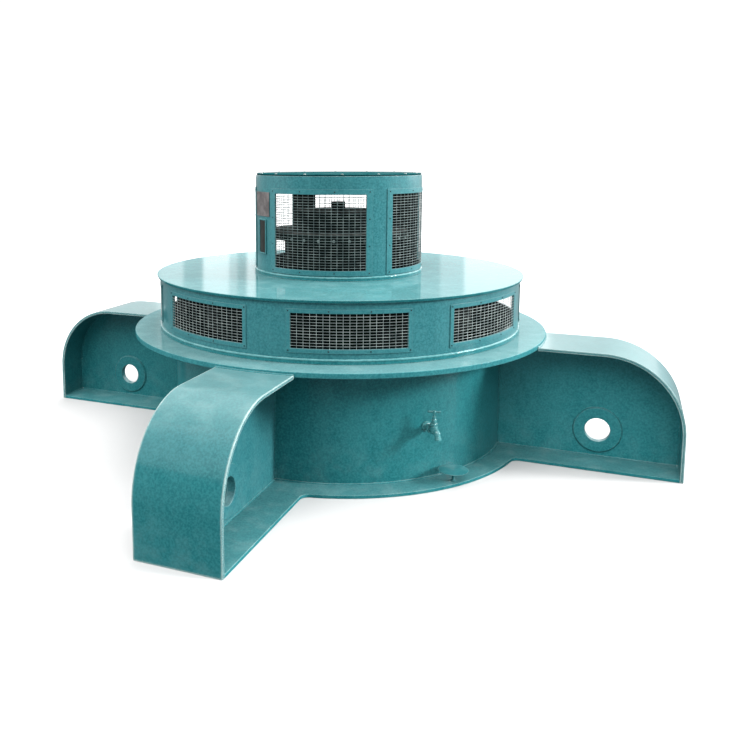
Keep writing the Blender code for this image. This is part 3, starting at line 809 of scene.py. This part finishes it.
def buildScrews(wall, screen, azimuth, shape):
    bm = bmesh.new()
    radius = wall["radius"] + screenFrame["gap"] + screenFrame["thickness"] - screw["sunk"]
    low = wall["sill"] - screen["height"] / 2
    high = wall["head"] + screen["height"] / 2
    rows = screen["screwRows"]
    for row in range(rows):
        height = low + (high - low) * row / (rows - 1)
        turns = screen["screwTurns"]
        if 0 < row < rows - 1:
            turns = (turns[0], turns[-1])
        for turn in turns:
            stamp(bm, shape, aim(azimuth + turn) @ at(radius, 0, height) @ outward())
    return bm


screwShape = makeScrewShape()
for kind, wall, screen in (("vent", ventRing, ventScreen), ("hood", hood, hoodScreen)):
    for number, azimuth in enumerate(wall["windows"], 1):
        makePiece(f"{kind}Frame_{number}", buildStripFrame(wall, screen, azimuth),
                  "frameEnamel", [f"{kind}_screen_{number}"])
        makePiece(f"{kind}Mesh_{number}", buildMesh(wall, screen, azimuth), kind + "Wire",
                  smooth=70)
        makePiece(f"{kind}Screws_{number}", buildScrews(wall, screen, azimuth, screwShape),
                  "darkScrew", smooth=30)
print("window screens built")

# Hexagon bolts of the lid.
lidBolts = {"count": 14, "first": 2.4, "circle": 0.420, "level": hoodLid["high"],
            "corner": 0.0062, "height": 0.0026, "washer": 0.0074, "washerHeight": 0.0006,
            "edge": 0.0005}


def makeBoltShape(size):
    bm = bmesh.new()
    prism(bm, 20, size["washer"], size["washerHeight"], at(0, 0, size["washerHeight"] / 2))
    prism(bm, 6, size["corner"], size["height"],
          at(0, 0, size["washerHeight"] + size["height"] / 2))
    return roundEdges(bm, size["edge"], 2)


def boltRing(size, lay=Matrix.Identity(4)):
    bm = bmesh.new()
    shape = makeBoltShape(size)
    for k in range(size["count"]):
        turn = size["first"] + 360 / size["count"] * k
        stamp(bm, shape, aim(turn) @ at(size["circle"], 0, size["level"]) @ lay)
    return bm


makePiece("lidBolts", boltRing(lidBolts), "boltZinc", smooth=30)

# Blank data plate and the sight window on one wide post of the hood.
dataPlate = {"azimuth": -62.6, "half": 10.9, "low": 1.186, "high": 1.311,
             "sheet": 0.0018, "sheetEdge": 0.0005, "border": 0.0045, "thickness": 0.003,
             "edge": 0.0006, "rivet": 0.0034, "rivetInset": 0.0115, "rivetTurn": 1.6}
sight = {"azimuth": -60.8, "half": 5.4, "low": 0.989, "high": 1.172, "rim": 0.008,
         "thickness": 0.006, "edge": 0.0028, "glass": 0.003, "glassEdge": 0.0004}


def buildCurvedSheet(radius, azimuth, half, low, high, thickness, edge):
    bm = wallUp(radius, azimuth - half, [(2 * half, max(4, round(half)))], (low, high))
    return roundEdges(thicken(bm, thickness), edge, 2)


def buildCurvedRim(radius, size, rim, edge, segments):
    turn = math.degrees(rim / radius)
    inner = size["half"] - turn
    bm = wallUp(radius, size["azimuth"] - size["half"],
                [(turn, 2), (2 * inner, 8), (turn, 2)],
                (size["low"], size["low"] + rim, size["high"] - rim, size["high"]))
    cutWindows(bm, [size["azimuth"]], inner, size["low"] + rim, size["high"] - rim)
    return roundEdges(thicken(bm, size["thickness"]), edge, segments)


seat = hood["radius"] + screenFrame["gap"]
plate = buildCurvedSheet(seat + dataPlate["sheet"], dataPlate["azimuth"], dataPlate["half"],
                         dataPlate["low"], dataPlate["high"], dataPlate["sheet"],
                         dataPlate["sheetEdge"])
stamp(plate, buildCurvedRim(seat + dataPlate["thickness"], dataPlate, dataPlate["border"],
                            dataPlate["edge"], 2))
rivet = bmesh.new()
bmesh.ops.create_uvsphere(rivet, u_segments=12, v_segments=6, radius=dataPlate["rivet"],
                          matrix=Matrix.Diagonal((1, 1, 0.5, 1)))
for side in (-1, 1):
    turn = dataPlate["azimuth"] + side * (dataPlate["half"] - dataPlate["rivetTurn"])
    for height in (dataPlate["low"] + dataPlate["rivetInset"],
                   dataPlate["high"] - dataPlate["rivetInset"]):
        stamp(plate, rivet, aim(turn) @ at(seat + dataPlate["sheet"], 0, height) @ outward())
makePiece("dataPlate", plate, "plateMetal", ["data_plate"])
makePiece("sightRim", buildCurvedRim(seat + sight["thickness"], sight, sight["rim"],
                                     sight["edge"], 4),
          "frameEnamel", ["sight_frame"])
glassTurn = math.degrees(sight["rim"] / seat)
makePiece("sightGlass",
          buildCurvedSheet(seat + sight["glass"], sight["azimuth"],
                           sight["half"] - glassTurn, sight["low"] + sight["rim"],
                           sight["high"] - sight["rim"], sight["glass"],
                           sight["glassEdge"]),
          "darkGlass", ["sight_glass"])
print("plates and sight window built")

# Machinery behind the screens: bearing pot under the cover, exciter in the hood.
bearingPot = {"radius": 0.720, "wall": 0.012, "low": 0.5923, "high": 0.850,
              "collar": 0.020, "collarLow": 0.78, "collarHigh": 0.80, "edge": 0.003,
              "steps": 96}
exciter = {"radius": 0.245, "foot": 0.290, "wall": 0.012, "low": 0.8796, "high": 1.205,
           "rimRadius": 0.375, "rimLow": 1.060, "rimHigh": 1.100,
           "stub": 0.038, "stubTop": 1.250, "edge": 0.003, "steps": 96}
rimBolts = {"count": 30, "first": -3.3, "circle": exciter["rimRadius"], "level": 1.070,
            "corner": 0.0065, "height": 0.0050, "washer": 0.0080, "washerHeight": 0.0010,
            "edge": 0.0005}


def buildBearingPot(size):
    radius, inner = size["radius"], size["radius"] - size["wall"]
    collar, low, high = radius + size["collar"], size["collarLow"], size["collarHigh"]
    bm = turned([(0, size["high"]), (radius, size["high"]), (radius, high),
                 (collar, high), (collar, low), (radius, low),
                 (radius, size["low"]), (inner, size["low"]),
                 (inner, size["high"] - size["wall"]), (0, size["high"] - size["wall"])],
                size["steps"])
    return roundEdges(bm, size["edge"], 2)


def buildExciter(size):
    radius, inner = size["radius"], size["radius"] - size["wall"]
    rim, low, high = size["rimRadius"], size["rimLow"], size["rimHigh"]
    bm = turned([(0, size["stubTop"]), (size["stub"], size["stubTop"]),
                 (size["stub"], size["high"]), (radius, size["high"]), (radius, high),
                 (rim, high), (rim, low), (size["foot"], low), (size["foot"], size["low"]),
                 (inner, size["low"]), (inner, size["high"] - size["wall"]),
                 (0, size["high"] - size["wall"])], size["steps"])
    return roundEdges(bm, size["edge"], 2)


makePiece("bearingPot", buildBearingPot(bearingPot), "ironInPaintedShade",
          ["bearing_pot"])
makePiece("exciterBody", buildExciter(exciter), "ironInPaintedShade", ["exciter"])
makePiece("exciterBolts", boltRing(rimBolts, outward()), "hoodWire",
          smooth=30)
print("inner machinery built")

# Drain cock, drawn at the origin: +X points away from the drum, the inlet is at height 0.
# A nut is its radius, low end and high end; "wall" is where the inlet meets the drum.
cock = {"azimuth": 27.5, "reach": 0.947, "height": 0.264, "wall": -0.0625,
        "stemNuts": ((0.0195, 0.0215, 0.0320), (0.0142, 0.0410, 0.0495)),
        "inletNut": (0.0225, 0.030, 0.040),
        "bar": 0.031, "barRadius": 0.0062, "barHeight": 0.086, "barTurn": 58.0}
spoutPipe = {"radius": 0.0140, "lead": 0.010, "start": 0.011, "bend": 0.017, "turn": 74,
             "tail": 0.012, "lap": 0.001, "steps": 12}


def hexagon(bm, radius, low, high, matrix=Matrix.Identity(4)):
    prism(bm, 6, radius, high - low, matrix @ at(0, 0, (low + high) / 2))


def buildSpout(size):
    bm = bmesh.new()
    bmesh.ops.create_circle(bm, cap_ends=True, segments=24, radius=size["radius"],
                            matrix=at(size["start"] - size["lead"], 0, 0) @ outward())
    end = pushOn(bm, bm.faces[:], (size["lead"], 0, 0))
    last = spinOn(bm, end, size["turn"], size["steps"], (size["start"], 0, -size["bend"]),
                  (0, 1, 0))
    turn = math.radians(size["turn"])
    along = Vector((math.cos(turn), 0, -math.sin(turn)))
    tip = Vector((size["start"], 0, -size["bend"])) + size["bend"] * Vector(
        (math.sin(turn), 0, math.cos(turn)))
    pushOn(bm, only(bmesh.types.BMFace, last), along * size["tail"])
    faceOutward(bm)
    mouth = turned([(0, 0), (0.0146, 0), (0.0146, 0.0065), (0.0160, 0.0075),
                    (0.0160, 0.0155), (0.0122, 0.0155), (0.0118, 0.0070), (0, 0.0070)], 28)
    roundEdges(mouth, 0.0008, 2)
    stamp(bm, mouth, at(*(tip + along * (size["tail"] - size["lap"])))
          @ Matrix.Rotation(turn + math.radians(90), 4, "Y"))
    return bm


def buildCock():
    bm = turned([(0, -0.019), (0.008, -0.0185), (0.014, -0.016), (0.0188, -0.009),
                 (0.0190, 0.012), (0.0170, 0.0185), (0.0130, 0.021), (0.0118, 0.024),
                 (0.0118, 0.049), (0.0085, 0.051), (0.0085, 0.064), (0.0050, 0.064),
                 (0.0050, 0.054), (0, 0.054)], 32)
    roundEdges(bm, 0.0008, 2, 30)
    nuts = bmesh.new()
    for radius, low, high in cock["stemNuts"]:
        hexagon(nuts, radius, low, high)
    radius, low, high = cock["inletNut"]
    hexagon(nuts, radius, cock["wall"] + low, cock["wall"] + high, outward())
    roundEdges(nuts, 0.0010, 2)
    stamp(bm, nuts)
    inlet = turned([(0, cock["wall"] - 0.002), (0.024, cock["wall"] - 0.002),
                    (0.024, cock["wall"] + 0.006), (0.015, cock["wall"] + 0.0075),
                    (0.015, -0.005), (0, -0.005)], 32)
    roundEdges(inlet, 0.0010, 2)
    stamp(bm, inlet, outward())
    stamp(bm, buildSpout(spoutPipe))
    return placed(bm, cockPlace)


def buildCockHandle():
    bm = turned([(0, 0.0545), (0.0042, 0.0545), (0.0042, cock["barHeight"] + 0.003),
                 (0, cock["barHeight"] + 0.0035)], 16)
    hub = turned([(0, -0.006), (0.0070, -0.0055), (0.0078, 0), (0.0065, 0.0055),
                  (0, 0.0062)], 20)
    stamp(bm, hub, at(0, 0, cock["barHeight"]))
    half = cock["bar"]
    bar = turned([(0, -half), (0.0036, -half + 0.0006), (cock["barRadius"], -half + 0.0045),
                  (0.0056, -half + 0.009), (0.0042, -0.010), (0.0042, 0.010),
                  (0.0056, half - 0.009), (cock["barRadius"], half - 0.0045),
                  (0.0036, half - 0.0006), (0, half)], 20)
    stamp(bm, bar, at(0, 0, cock["barHeight"])
          @ Matrix.Rotation(math.radians(cock["barTurn"]), 4, "Z") @ outward())
    return placed(bm, cockPlace)


cockPlace = aim(cock["azimuth"]) @ at(cock["reach"], 0, cock["height"])
makePiece("drainCock", buildCock(), "cockEnamel", ["drain_cock"],
          smooth=45)
makePiece("cockHandle", buildCockHandle(), "cockEnamel",
          ["cock_handle"], "cock_handle", 45)

# Mushroom cap on the foot plate's ledge.
ledgeCap = {"azimuth": 33.2, "reach": 0.972, "radius": 0.069, "top": 0.073,
            "thickness": 0.007, "stem": 0.006, "foot": 0.006, "edge": 0.0012}


def buildLedgeCap(size):
    radius, top, stem, foot = size["radius"], size["top"], size["stem"], size["foot"]
    under, floor = top - size["thickness"], footPlate["thickness"]
    bm = turned([(0, top), (radius * 0.7, top - 0.001), (radius, top - 0.004),
                 (radius - 0.001, under), (stem, under), (stem, floor + foot),
                 (stem + foot, floor + foot / 2), (stem + foot, floor), (0, floor)], 48)
    place = Matrix.Translation(aim(size["azimuth"]) @ Vector((size["reach"], 0, 0)))
    return placed(roundEdges(bm, size["edge"], 2, 30), place)


makePiece("ledgeCap", buildLedgeCap(ledgeCap), "capEnamel",
          ["ledge_cap"])
print("drain cock and ledge cap built")

# Plain pale floor and soft studio light.  Windows are bright strips in the wall behind
# the machine: start, end and strength, from left to right.
studio = {"floor": (0.50, 0.50, 0.50, 1), "floorBounce": (0.06, 0.13, 0.14, 1),
          "floorGloss": (0.03, 0.04, 0.04, 1), "floorRoughness": 0.65,
          "floorSize": 60.0, "behind": 1.03, "leftExtra": 0.20, "rightExtra": 0.15,
          "ceiling": 0.75, "horizon": 1.02, "horizonGloss": 0.3, "windowEdge": 0.003,
          "windows": ((-0.222, -0.192, 0.9), (-0.168, -0.136, 1.7), (-0.136, -0.126, 0.7),
                      (-0.114, -0.103, 1.5), (0.126, 0.155, 0.6), (0.155, 0.25, 1.9))}
# Where light fades in or out, in parts of the direction east, north or up.
fades = {"behind": (-0.4, -0.1), "left": (-0.3, -0.6), "right": (0.3, 0.6),
         "wallTop": (0.25, 0.6), "ceiling": (0.42, 0.60), "horizon": (0.08, 0.20)}
# Azimuth, height and spread of the lamps are in degrees.
lamps = {
    "rightWindow": {"azimuth": 85, "height": 20, "spread": 12, "strength": 5.4},
    "lowRight": {"azimuth": 120, "height": 18, "spread": 45, "strength": 1.6},
    "backRight": {"azimuth": 135, "height": 55, "spread": 60, "strength": 3.4},
    "frontRight": {"azimuth": 35, "height": 30, "spread": 50, "strength": 0.6},
    "front": {"azimuth": 0, "height": 50, "spread": 60, "strength": 2.1},
    "frontLeft": {"azimuth": -45, "height": 50, "spread": 60, "strength": 2.0},
    "left": {"azimuth": -85, "height": 20, "spread": 40, "strength": 1.9},
}


def setStudio():
    bm = bmesh.new()
    bmesh.ops.create_grid(bm, x_segments=1, y_segments=1, size=studio["floorSize"])
    mesh = bpy.data.meshes.new("floor")
    bm.to_mesh(mesh)
    bm.free()
    floor = bpy.data.objects.new("floor", mesh)
    bpy.context.scene.collection.objects.link(floor)
    material, recipe, shader, place = startFinish("paleFloor")
    seen = recipe.node("ShaderNodeLightPath", {}, {}, "Is Camera Ray")
    glossy = recipe.node("ShaderNodeLightPath", {}, {}, "Is Glossy Ray")
    colour = recipe.blend(glossy, studio["floorBounce"], studio["floorGloss"])
    recipe.join(recipe.blend(seen, colour, studio["floor"]), shader.inputs["Base Color"])
    shader.inputs["Roughness"].default_value = studio["floorRoughness"]
    mesh.materials.append(material)

    world = bpy.data.worlds.new("studio")
    bpy.context.scene.world = world
    world.use_nodes = True
    recipe = Recipe(world.node_tree)
    direction = recipe.node("ShaderNodeTexCoord", {}, {}, "Generated")
    east, north, up = [recipe.node("ShaderNodeSeparateXYZ", {}, {0: direction}, axis)
                       for axis in "XYZ"]
    behind = recipe.between(north, *fades["behind"])
    sides = (studio["behind"] + recipe.between(east, *fades["left"]) * studio["leftExtra"]
             + recipe.between(east, *fades["right"]) * studio["rightExtra"])
    edge = studio["windowEdge"]
    for start, end, extra in studio["windows"]:
        sides = sides + (recipe.between(east, start - edge, start + edge)
                         * recipe.between(east, end + edge, end - edge) * extra)
    backdrop = (behind * sides * recipe.between(up, *fades["wallTop"], 1.0, 0.0)
                + recipe.between(up, *fades["ceiling"]) * studio["ceiling"])
    glossy = recipe.node("ShaderNodeLightPath", {}, {}, "Is Glossy Ray")
    fade = 1 - glossy * (1 - studio["horizonGloss"])
    horizon = ((1 - behind) * recipe.between(up, *fades["horizon"], 1.0, 0.0) * fade
               * studio["horizon"])
    background = world.node_tree.nodes["Background"]
    background.inputs["Color"].default_value = (1, 1, 1, 1)
    recipe.join(backdrop + horizon, background.inputs["Strength"])

    for name, lamp in lamps.items():
        light = bpy.data.lights.new(name, "SUN")
        light.energy = lamp["strength"]
        light.angle = math.radians(lamp["spread"])
        thing = bpy.data.objects.new(name, light)
        thing.rotation_euler = (math.radians(90 - lamp["height"]), 0,
                                math.radians(lamp["azimuth"]))
        bpy.context.scene.collection.objects.link(thing)
    bpy.context.scene.view_settings.view_transform = "Standard"


setStudio()
print("studio set")
